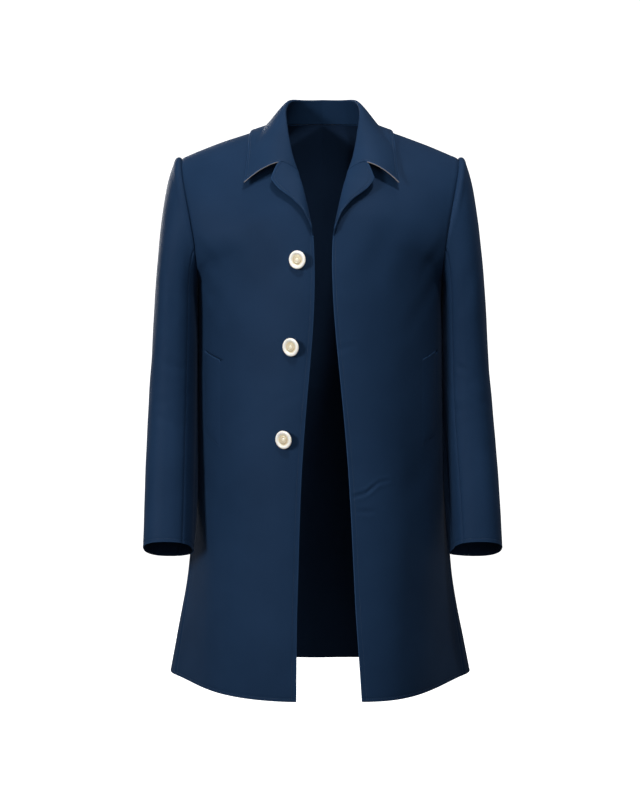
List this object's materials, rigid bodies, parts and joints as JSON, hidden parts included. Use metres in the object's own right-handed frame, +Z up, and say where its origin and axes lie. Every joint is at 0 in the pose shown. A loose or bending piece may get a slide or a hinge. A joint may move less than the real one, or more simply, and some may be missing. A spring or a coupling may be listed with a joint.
{
  "type": "overcoat",
  "caption": "Single-breasted overcoat worn open, with a falling collar, small lapels, set-in sleeves, slanted welt pockets and pale shank buttons.",
  "frame": {"origin": "where the wearer's neck and shoulders carry the coat: on its middle plane, 4.5 mm under the line between the points where the shoulder seams meet the neck", "axes": "+Z up, the front faces -Y, the wearer's left is at +X"},
  "size_m": [0.6004, 0.3457, 0.9917],
  "materials": {
    "coat_cloth": "fine, closely woven navy wool gabardine with a soft satin sheen",
    "collar_cloth": "the same navy gabardine over canvas, pressed",
    "button": "polished pale ivory with a tan sunken ring"
  },
  "bodies": {
    "root": {"right_front": "coat_cloth", "left_front": "coat_cloth", "back": "coat_cloth", "right_top_sleeve": "coat_cloth", "left_top_sleeve": "coat_cloth", "right_under_sleeve": "coat_cloth", "left_under_sleeve": "coat_cloth", "collar_stand": "collar_cloth", "collar_leaf": "collar_cloth", "right_lapel": "collar_cloth", "left_lapel": "collar_cloth", "right_welt": "coat_cloth", "left_welt": "coat_cloth", "button_1": "button", "button_2": "button", "button_3": "button"}
  },
  "joints": []
}
